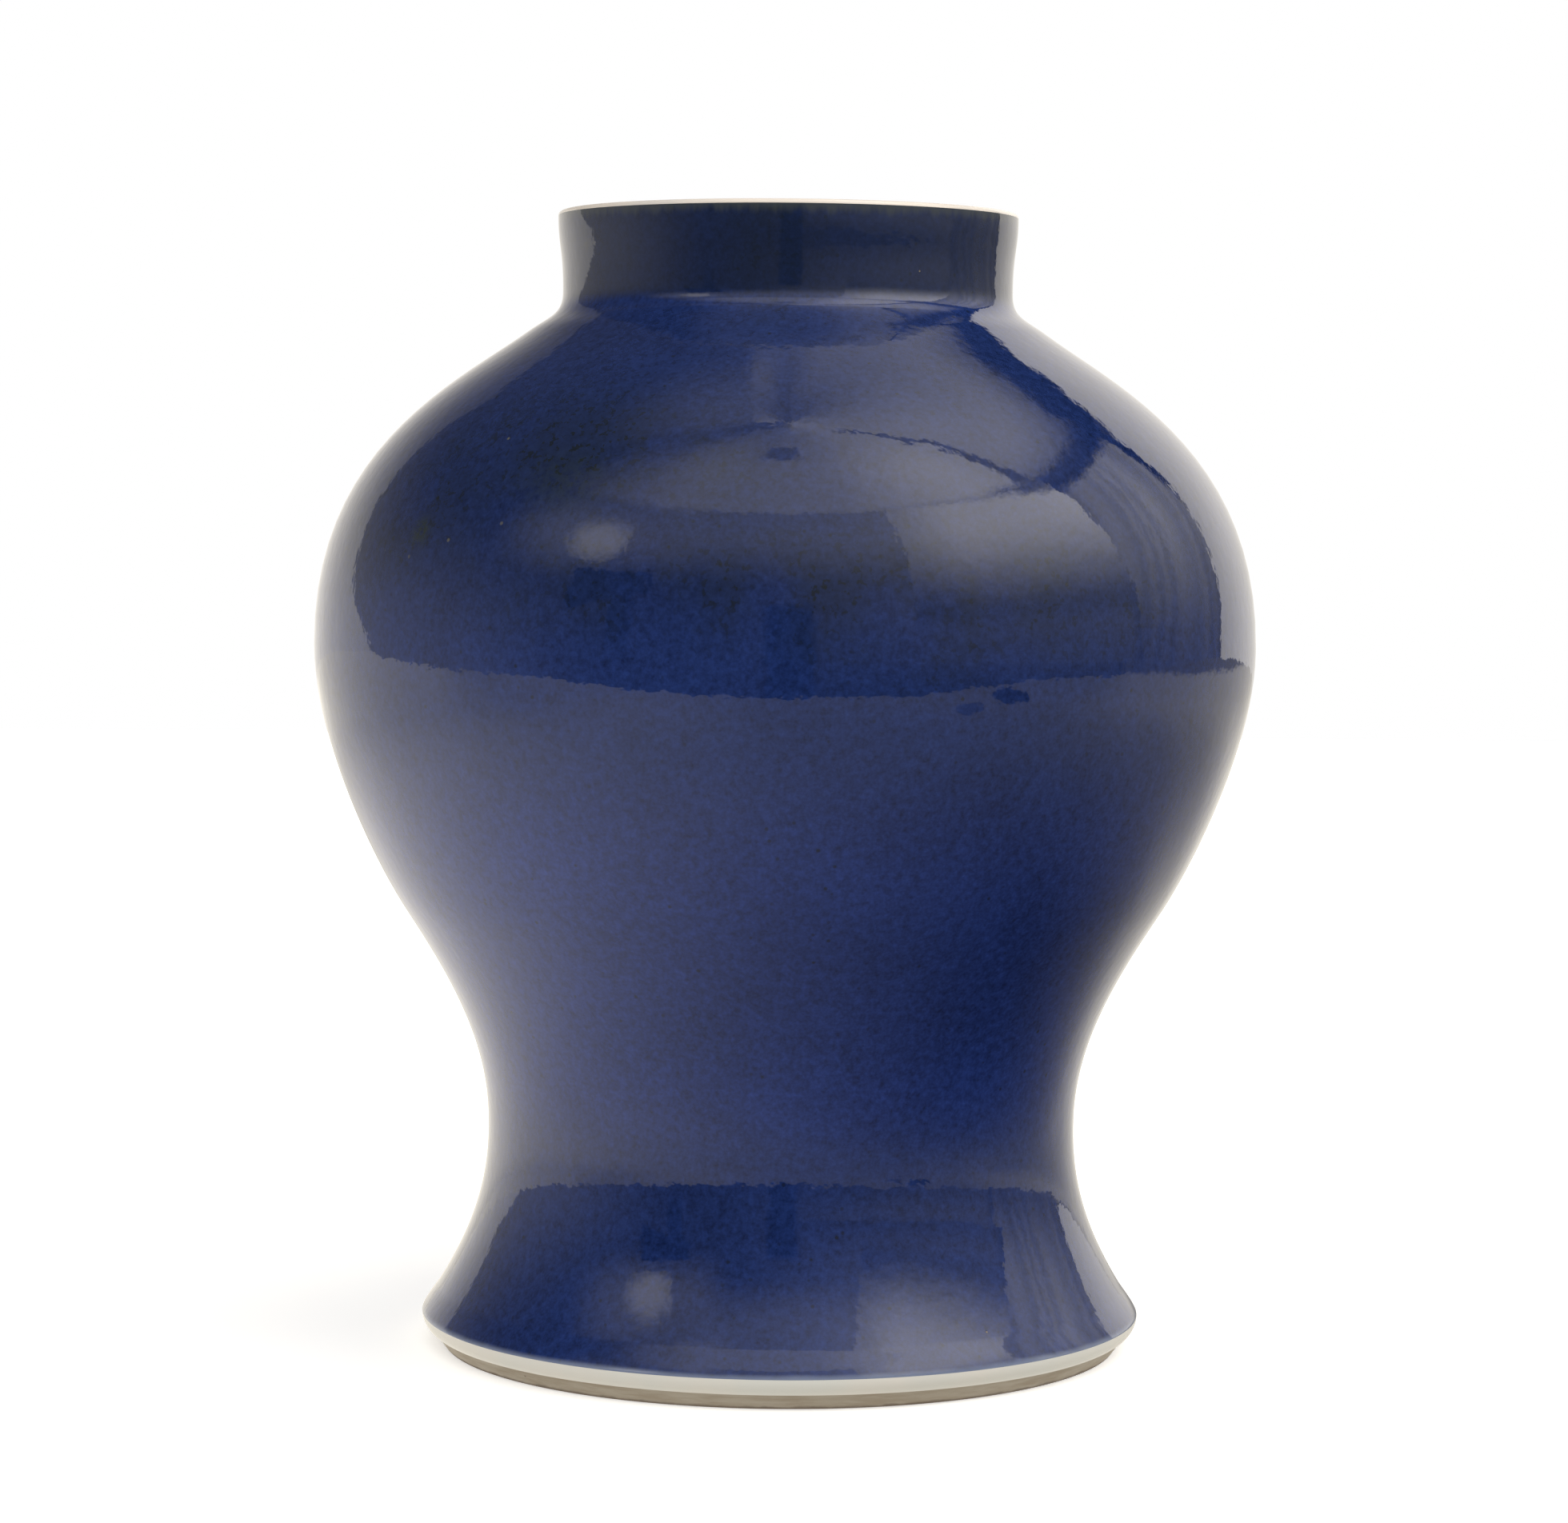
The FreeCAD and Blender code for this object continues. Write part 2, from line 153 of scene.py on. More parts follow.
class Signal:
    """A number that runs through a node tree, so that shader maths reads as sums."""

    def __init__(self, bench: "Bench", socket: Socket) -> None:
        """Hold a socket of a bench's tree."""
        self.bench = bench
        self.socket = socket

    def math(self, operation: str, *others: Number) -> "Signal":
        """Pass this number, and others after it, through one Math node."""
        return self.bench.math(operation, self, *others)

    def __add__(self, other: Number) -> "Signal":
        """Add."""
        return self.math("ADD", other)

    __radd__ = __add__

    def __sub__(self, other: Number) -> "Signal":
        """Take away."""
        return self.math("SUBTRACT", other)

    def __rsub__(self, other: float) -> "Signal":
        """Take this away from a plain number."""
        return self.bench.math("SUBTRACT", other, self)

    def __mul__(self, other: Number) -> "Signal":
        """Multiply."""
        return self.math("MULTIPLY", other)

    __rmul__ = __mul__

    def __truediv__(self, other: Number) -> "Signal":
        """Divide."""
        return self.math("DIVIDE", other)

    def __abs__(self) -> "Signal":
        """The number without its sign."""
        return self.math("ABSOLUTE")

    def either(self, other: Number) -> "Signal":
        """The larger of the two."""
        return self.math("MAXIMUM", other)

    def both(self, other: Number) -> "Signal":
        """The smaller of the two."""
        return self.math("MINIMUM", other)


class Bench:
    """One node tree and the few ways in which nodes are added to it."""

    dot_core = 0.4

    def __init__(self, owner: bpy.types.Material | bpy.types.World) -> None:
        """Start with an empty tree in a new material or world."""
        owner.use_nodes = True
        self.tree = owner.node_tree
        self.tree.nodes.clear()

    def node(self, kind: str, inputs: Inputs | None = None, **settings: Any) -> bpy.types.Node:
        """Add a node, set it up, then give its sockets values or links.

        Args:
            kind: The shader node's type, as it is after the word ShaderNode.
            inputs: A value, a socket or a signal for each named or numbered socket.
            settings: Its properties, set before its sockets.

        Returns:
            The new node.
        """
        made = self.tree.nodes.new("ShaderNode" + kind)
        for name, value in settings.items():
            setattr(made, name, value)
        for name, value in (inputs or {}).items():
            self.plug(made.inputs[name], value)
        return made

    def plug(self, socket: Socket, value: Any) -> None:
        """Link a socket to a signal or another socket, or give it a plain value."""
        source = value.socket if isinstance(value, Signal) else value
        if isinstance(source, Socket):
            self.tree.links.new(source, socket)
        else:
            socket.default_value = source

    def math(self, operation: str, *values: Number) -> Signal:
        """The result of one Math node, with its inputs in order."""
        made = self.node("Math", dict(enumerate(values)), operation=operation)
        return Signal(self, made.outputs[0])

    def ramp(self, value: Signal, ramp: Ramp, *more: Ramp) -> Signal:
        """Ease a number from a ramp's first level to its second, times any more ramps."""
        if more:
            return self.ramp(value, ramp) * self.ramp(value, *more)
        if ramp.about is not None:
            value = abs(value - ramp.about)
        inputs = dict(enumerate((value, ramp.low, ramp.high, ramp.start, ramp.end)))
        made = self.node("MapRange", inputs, interpolation_type="SMOOTHSTEP")
        return Signal(self, made.outputs["Result"])

    def length(self, across: Signal, up: Signal) -> Signal:
        """The length of two parts at a right angle."""
        return self.math("SQRT", across * across + up * up)

    def oval(self, x: Signal, y: Signal, oval: Oval) -> Signal:
        """An oval's level at a place."""
        if oval.turn[1]:
            cosine, sine = oval.turn
            x, y = x * cosine - y * sine, x * sine + y * cosine
        across = (x - oval.centre[0]) / oval.reach[0]
        up = (y - oval.centre[1]) / oval.reach[1]
        return self.ramp(self.length(across, up), oval.fade)

    def bearing(self, x: Signal, y: Signal) -> Signal:
        """A place's bearing in radians from the front, positive to the right."""
        return self.math("ARCTAN2", x, y * -1)

    def mix(self, factor: Number, first: Any, second: Any) -> Socket:
        """Go from one colour, or its socket, to another."""
        inputs = {0: factor, 6: shade(first), 7: shade(second)}
        return self.node("Mix", inputs, data_type="RGBA").outputs[2]

    def layers(self, colour: Any, *layers: tuple[Signal, Colour]) -> Any:
        """Lay tints over a colour, one after another, each as far as its own factor."""
        for factor, tint in layers:
            colour = self.mix(factor, colour, tint)
        return colour

    def scaled(self, vector: Socket, factor: Signal) -> Socket:
        """A colour or vector times a number."""
        inputs = {0: vector, 3: factor}
        return self.node("VectorMath", inputs, operation="SCALE").outputs[0]

    def place(self) -> Socket:
        """The place on the piece, in the piece's own metres."""
        return self.node("TexCoord").outputs["Object"]

    def axes(self, vector: Socket) -> tuple[Signal, Signal, Signal]:
        """A vector's three parts."""
        parts = self.node("SeparateXYZ", {0: vector})
        return tuple(Signal(self, out) for out in parts.outputs)

    def noise(self, vector: Socket, grain: Grain) -> Signal:
        """A grain's noise, from 0 to 1 about a half."""
        if grain.upright != 1.0:
            inputs = {"Vector": vector, "Scale": (1.0, 1.0, grain.upright)}
            vector = self.node("Mapping", inputs).outputs[0]
        inputs = {"Vector": vector, "Scale": 1 / (grain.size * MM)}
        inputs |= {"Detail": grain.detail, "Roughness": grain.rough}
        return Signal(self, self.node("TexNoise", inputs).outputs[0])

    def sway(self, vector: Socket, grain: Grain) -> Signal:
        """A grain's noise about nothing, times its weight."""
        return (self.noise(vector, grain) - 0.5) * grain.weight

    def lift(self, vector: Socket, *grains: Grain) -> Signal:
        """The sum of some grains' noise, each times its weight."""
        first, *rest = (self.noise(vector, grain) * grain.weight for grain in grains)
        return sum(rest, first)

    def specks(self, vector: Socket, dots: Dots) -> Signal:
        """1 in the dots and 0 between them."""
        inputs = {"Vector": vector, "Scale": 1 / (dots.spacing * MM)}
        cells = self.node("TexVoronoi", inputs)
        share = dots.radius / dots.spacing
        apart = Signal(self, cells.outputs["Distance"])
        return self.ramp(apart, Ramp(share, self.dot_core * share))

    def relief(self, height: Signal) -> Socket:
        """Turn a height in millimetres into a surface normal."""
        inputs = {"Strength": 1.0, "Distance": MM, "Height": height}
        return self.node("Bump", inputs).outputs["Normal"]

    def light(self, colour: Colour, strength: Number, kind: str = "Emission") -> Socket:
        """Light of one colour, from a surface or from a world's background."""
        return self.node(kind, {"Color": shade(colour), "Strength": strength}).outputs[0]

    def blend(self, factor: Any, first: Any, second: Any) -> Socket:
        """Go from one shader to another."""
        inputs = {0: factor, 1: first, 2: second}
        return self.node("MixShader", inputs).outputs[0]

    def for_camera(self, others: Any, camera: Any) -> Socket:
        """One shader for the camera, and another for every other ray."""
        seen = self.node("LightPath").outputs["Is Camera Ray"]
        return self.blend(seen, others, camera)


@dataclass(frozen=True)
class Zone:
    """A part of the room, by ramps over its bearing and its rise, in degrees."""

    bearing: tuple[Ramp, ...] = ()
    rise: tuple[Ramp, ...] = ()


@dataclass(frozen=True)
class Way:
    """A direction in the room: its bearing, positive to the right, and its rise, in degrees."""

    bench: Bench
    bearing: Signal
    rise: Signal

    def zone(self, zone: Zone) -> Signal:
        """A zone's level: all its ramps, multiplied."""
        ramps = [self.ramp(ramp, self.bearing, self.rise) for ramp in zone.bearing]
        ramps += [self.ramp(ramp, self.rise, self.bearing) for ramp in zone.rise]
        return math.prod(ramps[1:], start=ramps[0])

    def ramp(self, ramp: Ramp, angle: Signal, other: Signal) -> Signal:
        """A ramp's level at one angle, slanted by the other."""
        return self.bench.ramp(angle + other * ramp.slant if ramp.slant else angle, ramp)

    def oval(self, oval: Oval) -> Signal:
        """An oval's level."""
        return self.bench.oval(self.bearing, self.rise, oval)


def shade(colour: Any) -> Any:
    """A colour with its alpha, or the socket as it is."""
    return (*colour, 1.0) if isinstance(colour, tuple) else colour


def painted(*levels: int) -> Colour:
    """A picture's red, green and blue from 0 to 255 as linear light."""

    def linear(level: float) -> float:
        """One channel."""
        return level / 12.92 if level <= 0.04045 else ((level + 0.055) / 1.055) ** 2.4

    return tuple(linear(level / 255) for level in levels)


@dataclass(frozen=True)
class Patch:
    """A soft cloud in the glaze, with lengths in millimetres.

    Its bearing is in degrees from the front, positive to the right. It reaches half its
    width to each side, and as far as it is tall both up and down.
    """

    bearing: float
    height: float
    width: float
    tall: float
    strength: float = 1.0


class Finish:
    """A procedural surface that fills one material slot."""

    name = "finish"
    ior = 1.5

    def material(self) -> bpy.types.Material:
        """Make the material, or find it if it is made."""
        found = bpy.data.materials.get(self.name)
        if found:
            return found
        made = bpy.data.materials.new(self.name)
        bench = Bench(made)
        gloss = bench.node("BsdfPrincipled")
        for socket, value in {"IOR": self.ior, **self.dress(bench)}.items():
            bench.plug(gloss.inputs[socket], value)
        bench.node("OutputMaterial", {"Surface": gloss.outputs[0]})
        return made

    def dress(self, bench: Bench) -> Inputs:
        """The surface's colour, gloss and relief, for the shader's sockets."""
        raise NotImplementedError


@dataclass(frozen=True)
class BlueGlaze(Finish):
    """Powder blue under a clear gloss: cobalt clouds, mottling, specks and pinholes.

    Ramps over the height are in metres, like the place that they read.
    """

    name: str = "powder_blue_glaze"
    cobalt: Colour = painted(27, 45, 97)
    # Lighter blue of the low belly: partly the glaze's own tone, partly painted fill light where
    # the table's light is dim.
    tone_and_fill_blue: Colour = painted(31, 51, 115)
    dusky: Colour = painted(25, 40, 84)
    slate: Colour = painted(24, 32, 46)
    speck: Colour = painted(20, 26, 30)
    thin: Colour = painted(128, 140, 168)
    olive: Colour = painted(112, 108, 84)
    murk: Colour = painted(36, 44, 34)
    iron: Colour = painted(150, 134, 96)
    line: Colour = painted(62, 68, 70)
    roughness: Ramp = Ramp(0.3, 0.7, 0.026, 0.0416)
    cloudy: Grain = Grain(95, 3, 0.55, 0.5)
    drifting: Grain = Grain(24, 3, 0.6, 0.5, 0.7)
    mottled: Grain = Grain(2.2, 3, 0.62, 1.5)
    powdery: Grain = Grain(0.9, 2, 0.5, 0.9)
    tone_and_fill_heights: tuple[Ramp, ...] = (Ramp(0.185, 0.14), Ramp(0.052, 0.085))
    dusky_heights: tuple[Ramp, ...] = (Ramp(0.196, 0.226), Ramp(0.3, 0.282))
    neck: Ramp = Ramp(0.2925, 0.2965, 0, 0.68)
    smoky: tuple[Patch, ...] = (
        Patch(20, 214, 170, 26),
        Patch(-28, 252, 150, 22),
        Patch(-56, 232, 80, 18, 0.8),
        Patch(-20, 218, 120, 20, 0.6),
        Patch(-4, 310, 60, 26),
    )
    smoke_drift: Ramp = Ramp(0.34, 0.6)
    smoke_strength: float = 0.55
    blots: tuple[Patch, ...] = (Patch(-49, 230.5, 10, 5.0, 0.9), Patch(-28.5, 244, 34, 10, 0.4))
    blot_mottle: Ramp = Ramp(0.3, 0.6)
    mean_radius: float = 120.0
    patch_fade: Point = (1.2, 0.1)
    dot_grain: Grain = Grain(2.0, 2, 0.6)
    dot_edge: Ramp = Ramp(0.55, 0.64)
    dots_in_smoke: float = 0.75
    dots_outside: float = 0.06
    flecks: Dots = Dots(5.5, 0.75)
    fleck_drift: Ramp = Ramp(0.4, 0.6, 0.25, 0.7)
    freckled: Patch = Patch(-46, 246, 90, 30)
    freckles: Dots = Dots(9, 0.7, 0.8)
    pinholes: Dots = Dots(34, 0.42, 0.6, 0.05)
    waver: Grain = Grain(14, 2, weight=0.0008)
    foot_edge: Ramp = Ramp(0.0106, 0.0089, 0, 0.9)
    streak: Grain = Grain(2.4, 2, weight=0.004, upright=0.15)
    lip_edge: Ramp = Ramp(0.3158, 0.3188, 0, 0.7)
    ripples: tuple[Grain, ...] = (
        Grain(46, 1, weight=0.16),
        Grain(10, 1, weight=0.06),
        Grain(4.2, 1, weight=0.04),
        Grain(1.6, 1, weight=0.014),
    )

    def dress(self, bench: Bench) -> Inputs:
        """The coat's colour, gloss and relief."""
        place = bench.place()
        x, y, z = bench.axes(place)
        bearing = bench.bearing(x, y)
        drift = bench.noise(place, self.drifting)
        mottle = bench.noise(place, self.mottled)
        # The low belly's lighter blue is partly painted fill light.
        colour = bench.layers(
            self.cobalt,
            (bench.ramp(z, *self.tone_and_fill_heights), self.tone_and_fill_blue),
            (bench.ramp(z, *self.dusky_heights), self.dusky),
        )
        vary = bench.sway(place, self.cloudy) + (drift - 0.5) * self.drifting.weight
        vary = vary + (mottle - 0.5) * self.mottled.weight + bench.sway(place, self.powdery)
        smoke = sum(self.patch(bench, bearing, z, patch) for patch in self.smoky)
        smoke = smoke.both(1.0) * bench.ramp(drift, self.smoke_drift)
        dots = bench.ramp(bench.noise(place, self.dot_grain), self.dot_edge)
        flecks = bench.specks(place, self.flecks) * bench.ramp(drift, self.fleck_drift)
        freckles = bench.specks(place, self.freckles) * self.freckles.strength
        patchy = bench.ramp(mottle, self.blot_mottle)
        blots = [self.patch(bench, bearing, z, patch) * patchy for patch in self.blots]
        pin = bench.specks(place, self.pinholes)
        colour = bench.layers(
            bench.scaled(colour, vary + 1),
            (smoke * self.smoke_strength, self.slate),
            (dots * (smoke * self.dots_in_smoke + self.dots_outside), self.speck),
            (flecks, self.speck),
            (bench.ramp(z, self.neck), self.slate),
            *((blot, self.murk) for blot in blots),
            (freckles * self.patch(bench, bearing, z, self.freckled), self.olive),
            (bench.ramp(z + bench.sway(place, self.waver), self.foot_edge), self.thin),
            (bench.ramp(z + bench.sway(place, self.streak), self.lip_edge), self.line),
            (pin * self.pinholes.strength, self.iron),
        )
        return {
            "Base Color": colour,
            "Roughness": bench.ramp(mottle, self.roughness),
            "Normal": bench.relief(bench.lift(place, *self.ripples) - pin * self.pinholes.depth),
        }

    def patch(self, bench: Bench, bearing: Signal, z: Signal, patch: Patch) -> Signal:
        """One soft cloud in its own place."""
        across = (bearing - math.radians(patch.bearing)) * (2 * self.mean_radius / patch.width)
        up = (z - patch.height * MM) / (patch.tall * MM)
        fade = Ramp(*self.patch_fade, 0, patch.strength)
        return bench.ramp(bench.length(across, up), fade)


@dataclass(frozen=True)
class ClearGlaze(Finish):
    """Clear glaze over white porcelain, with a few iron specks and pinholes.

    Its turning marks, in millimetres of relief, are there where the wheel's rings show.
    """

    name: str = "clear_glaze"
    colour: Colour = painted(230, 228, 224)
    pooled: Colour = painted(224, 226, 224)
    iron: Colour = painted(112, 92, 74)
    roughness: Ramp = Ramp(0.3, 0.7, 0.07, 0.112)
    turning: float = 0.0
    ring_pitch: float = 0.011
    ring_lean: float = 0.8
    spots: Dots = Dots(26, 0.5, 0.8, 0.03)
    clouds: Grain = Grain(30, 3, 0.55)
    pool_edge: Ramp = Ramp(0.35, 0.7)
    ripples: tuple[Grain, ...] = (Grain(12, 1, weight=0.02), Grain(2.6, 1, weight=0.0015))

    def dress(self, bench: Bench) -> Inputs:
        """The glaze's colour, gloss and relief."""
        place = bench.place()
        x, y, z = bench.axes(place)
        cloud = bench.noise(place, self.clouds)
        colour = bench.mix(bench.ramp(cloud, self.pool_edge), self.colour, self.pooled)
        spot = bench.specks(place, self.spots)
        height = bench.lift(place, *self.ripples)
        if self.turning:
            climb = z + bench.length(x, y) * self.ring_lean
            rings = bench.math("SINE", climb * (math.tau / self.ring_pitch))
            height = rings * self.turning + height
        return {
            "Base Color": bench.mix(spot * self.spots.strength, colour, self.iron),
            "Roughness": bench.ramp(cloud, self.roughness),
            "Normal": bench.relief(height - spot * self.spots.depth),
        }


@dataclass(frozen=True)
class Biscuit(Finish):
    """Bare fired porcelain of the standing ring, stained by handling, with a painted contact shadow
    at its foot.

    Ramps over the place are in metres, and the wheel's marks in metres apart.
    """

    name: str = "bare_biscuit"
    colour: Colour = painted(176, 168, 156)
    warm: Colour = painted(160, 149, 134)
    # The dark of the dirt pits, and of the painted contact shadow at the ring's foot.
    dirt_and_contact_shade: Colour = painted(92, 78, 68)
    roughness: Ramp = Ramp(0.3, 0.7, 0.62, 0.77)
    ior: float = 1.45
    streaks: Grain = Grain(16, 4, 0.65, upright=9.0)
    warm_edge: Ramp = Ramp(0.35, 0.7)
    contact_shade_waver: Grain = Grain(5, 3, weight=0.0012)
    contact_shade_below: Ramp = Ramp(0.0011, 0.0002)
    contact_shade_beyond: Ramp = Ramp(0.0925, 0.0952, 0.25, 1)
    dirt_and_shade_strength: float = 0.8
    pits: tuple[Dots, ...] = (Dots(11, 0.55), Dots(5, 0.2, 0.6))
    pit_depth: float = 0.06
    mark_pitch: float = 0.0009
    mark_depth: float = 0.004
    grain: Grain = Grain(0.7, 3, 0.6, 0.02)

    def dress(self, bench: Bench) -> Inputs:
        """The ring's colour, grain and turning marks."""
        place = bench.place()
        x, y, z = bench.axes(place)
        across = bench.length(x, y)
        streak = bench.noise(place, self.streaks)
        colour = bench.mix(bench.ramp(streak, self.warm_edge), self.colour, self.warm)
        # Painted contact shadow: darker over the ring's lowest millimetre, where it stands on the
        # table.
        contact_shade = bench.ramp(z + bench.sway(place, self.contact_shade_waver), self.contact_shade_below)
        contact_shade = contact_shade * bench.ramp(across, self.contact_shade_beyond)
        pits = sum(bench.specks(place, dots) * dots.strength for dots in self.pits)
        soiled_and_shaded = contact_shade.either(pits) * self.dirt_and_shade_strength
        turned = bench.math("SINE", (z + across) * (math.tau / self.mark_pitch))
        height = turned * self.mark_depth + bench.lift(place, self.grain)
        return {
            "Base Color": bench.mix(soiled_and_shaded, colour, self.dirt_and_contact_shade),
            "Roughness": bench.ramp(streak, self.roughness),
            "Normal": bench.relief(height - pits * self.pit_depth),
        }


@dataclass(frozen=True)
class Clay(Finish):
    """The fired body and its slip, which the glazes hide."""

    name: str = "fired_clay"
    colour: Colour = painted(214, 206, 194)
    dark: Colour = painted(198, 188, 174)
    roughness: Ramp = Ramp(0.3, 0.7, 0.7, 0.82)
    ior: float = 1.45
    clouds: Grain = Grain(22, 4, 0.6)
    dark_edge: Ramp = Ramp(0.3, 0.7)
    grain: Grain = Grain(0.8, 2, weight=0.02)

    def dress(self, bench: Bench) -> Inputs:
        """The clay's colour and its fine dry grain."""
        place = bench.place()
        cloud = bench.noise(place, self.clouds)
        return {
            "Base Color": bench.mix(bench.ramp(cloud, self.dark_edge), self.colour, self.dark),
            "Roughness": bench.ramp(cloud, self.roughness),
            "Normal": bench.relief(bench.lift(place, self.grain)),
        }


@dataclass(frozen=True)
class Station:
    """A place on the outside that every skin of the wall follows.

    Its slope is from the vertical, in degrees, and is positive where the wall spreads
    downwards.
    """

    radius: float
    height: float
    wall: float | None = None
    slope: float = 0.0
    seam: bool = False

    def point(self, depth: float) -> Point:
        """The place at a depth under the outside, square to it."""
        lean = math.radians(self.slope)
        return self.radius - depth * math.cos(lean), self.height - depth * math.sin(lean)

    def handle(self, end: Point, reach: float) -> Point:
        """A curve's handle: run down along the slope, or up where the reach is negative."""
        lean = math.radians(self.slope)
        return end[0] + reach * math.sin(lean), end[1] - reach * math.cos(lean)


@dataclass(frozen=True)
class Bend:
    """A curve of the outline between two stations, and how full it is at each end."""

    upper: Station
    lower: Station
    top_share: float
    bottom_share: float


@dataclass
class Profile:
    """The vase's outline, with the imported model's sizes."""

    glaze: float = 0.4
    lip_round: float = 1.2
    edge_round: float = 5.4
    band_angle: float = 59.0
    standing_inset: float = 6.3
    ring_width: float = 7.2
    ring_bevel: float = 1.0
    recess_depth: float = 9.0
    recess_round: float = 3.0
    base_glaze_line: float = 2.0
    floor_round: float = 10.0
    bead_half: float = 4.0
    bead_proud: float = 1.2
    seam_half: float = 0.5
    curve_points: int = 22
    round_points: int = 9
    rim: Station = Station(64.8, 318.8, 4.6)
    neck: Station = Station(63.4, 298.0, 5.0, seam=True)
    shoulder: Station = Station(73.2, 286.2, 6.0, slope=54.0)
    belly: Station = Station(132.8, 198.4, 5.6, seam=True)
    turn: Station = Station(106.8156, 123.38, 6.2, slope=-33.2)
    waist: Station = Station(83.4, 62.0, 7.0, seam=True)
    flare: Station = Station(97.2, 16.4, slope=31.5)
    edge: Station = Station(102.0, 9.0)
    well_foot: Station = Station(80.0, 27.0)
    bends: dict[str, Bend] = field(init=False)

    def __post_init__(self) -> None:
        """Join the stations with curves."""
        self.bends = {
            "collar": Bend(self.rim, self.neck, 0.41, 0.52),
            "corner": Bend(self.neck, self.shoulder, 0.57, 0.65),
            "shoulder": Bend(self.shoulder, self.belly, 0.27, 0.63),
            "belly": Bend(self.belly, self.turn, 0.33, 0.25),
            "turn": Bend(self.turn, self.waist, 0.43, 0.35),
            "flare": Bend(self.waist, self.flare, 0.32, 0.44),
            "edge": Bend(self.flare, self.edge, 0.27, 0.13),
            "well": Bend(self.waist, self.well_foot, 0.32, 0.4),
        }

    @property
    def recess_radius(self) -> float:
        """The inner radius of the standing ring."""
        return self.edge.radius - self.standing_inset - self.ring_width

    def depth(self, station: Station, layer: Layer) -> float:
        """How deep a skin of the wall lies under a station."""
        if layer is Layer.SKIN:
            return 0.0
        if layer is Layer.CLAY:
            return self.glaze
        proud = self.glaze if layer is Layer.LINING else 0.0
        return proud if station.wall is None else self.glaze + station.wall + proud

    def run(self, name: str, layer: Layer) -> list[Point]:
        """A named curve of a skin, from its top down.

        Args:
            name: The curve.
            layer: The skin.

        Returns:
            Its points.
        """
        bend = self.bends[name]
        gap = self.seam_half if layer in (Layer.SKIN, Layer.CLAY) else self.bead_half
        top = bend.upper.point(self.depth(bend.upper, layer))
        bottom = bend.lower.point(self.depth(bend.lower, layer))
        if bend.upper.seam:
            top = (top[0], top[1] - gap)
        if bend.lower.seam:
            bottom = (bottom[0], bottom[1] + gap)
        height = top[1] - bottom[1]
        leave = bend.upper.handle(top, height * bend.top_share)
        reach = bend.lower.handle(bottom, -height * bend.bottom_share)
        knots = (Vector((*p, 0.0)) for p in (top, leave, reach, bottom))
        return [(p.x, p.y) for p in interpolate_bezier(*knots, self.curve_points)]

    def arc(self, centre: Point, radius: float, start: float, end: float) -> list[Point]:
        """Points round a centre, between two angles in degrees from straight out."""
        steps = self.round_points - 1
        turns = [math.radians(start + (end - start) * i / steps) for i in range(steps + 1)]
        return [(centre[0] + radius * math.cos(t), centre[1] + radius * math.sin(t)) for t in turns]

    def bead(self, station: Station, depth: float) -> list[Point]:
        """The slip bead's bulge inside a seam, from its top down."""
        radius = (self.bead_half**2 + self.bead_proud**2) / (2 * self.bead_proud)
        wall = station.radius - self.depth(station, Layer.CAVITY)
        centre = (wall - self.bead_proud + radius, station.height)
        over = radius + depth
        half = math.degrees(math.asin(self.bead_half / over))
        return self.arc(centre, over, 180 - half, 180 + half)

    def outside(self, layer: Layer) -> list[Point]:
        """The whole outside of a skin, from the lip's edge down to the foot's."""
        names = ("collar", "corner", "shoulder", "belly", "turn", "flare", "edge")
        return [p for name in names for p in self.run(name, layer)]

    def inside(self, layer: Layer) -> list[Point]:
        """The whole inside of a skin, from the lip down to the middle of the floor."""
        proud = self.glaze if layer is Layer.LINING else 0.0
        points: list[Point] = []
        for name in ("collar", "corner", "shoulder", "belly", "turn", "well"):
            points += self.run(name, layer)
            lower = self.bends[name].lower
            if lower.seam:
                points += self.bead(lower, proud)
        points += self.floor_corner(proud)
        return [*points, (0.0, points[-1][1])]

    def floor_corner(self, proud: float) -> list[Point]:
        """The round corner from the well down into the floor."""
        centre = (self.well_foot.radius - self.floor_round, self.well_foot.height)
        return self.arc(centre, self.floor_round - proud, 0, -90)

    def foot_edge(self, depth: float) -> list[Point]:
        """The rounded foot edge at a depth, from its widest line down to the bare ring."""
        centre = (self.edge.radius - self.edge_round, self.edge.height)
        return self.arc(centre, self.edge_round - depth, 0, -self.band_angle)

    def recess(self, depth: float, lowest: float) -> list[Point]:
        """The recess at a glaze depth, from the middle of its face out and down."""
        bend = self.recess_round
        centre = (self.recess_radius - bend, self.recess_depth - bend)
        corner = self.arc(centre, bend - depth, 90, 0)
        return [(0.0, corner[0][1]), *corner, (corner[-1][0], lowest)]


def placed(mesh: bmesh.types.BMesh, name: str) -> Object:
    """Turn a worked mesh into an object of the scene."""
    data = bpy.data.meshes.new(name)
    mesh.to_mesh(data)
    mesh.free()
    made = bpy.data.objects.new(name, data)
    bpy.context.scene.collection.objects.link(made)
    return made


